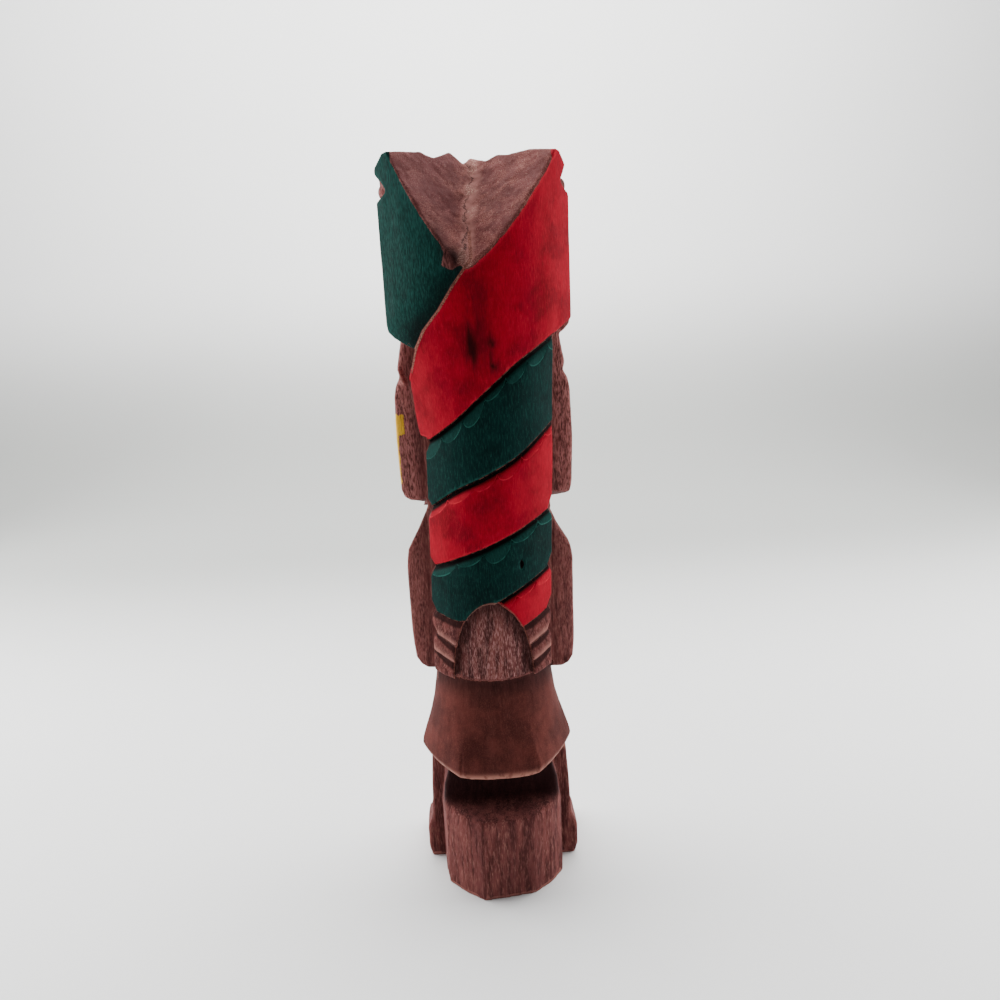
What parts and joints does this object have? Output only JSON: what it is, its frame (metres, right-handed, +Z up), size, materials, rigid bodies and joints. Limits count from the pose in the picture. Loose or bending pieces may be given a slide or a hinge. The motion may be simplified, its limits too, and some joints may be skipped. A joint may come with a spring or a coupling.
{
  "type": "totem pole",
  "caption": "Small carved wooden totem pole with painted serpents twisted down its back and a broad-hatted figure at its foot.",
  "frame": {"origin": "on the ground, in the middle of the pole's box", "axes": "+Z up the pole, -Y the way the carved faces look, so +Y is the back with the twisted serpents"},
  "size_m": [0.0692, 0.0572, 0.305],
  "materials": {
    "wood": "satin"
  },
  "bodies": {
    "root": {"totem_pole": "wood"}
  },
  "joints": []
}
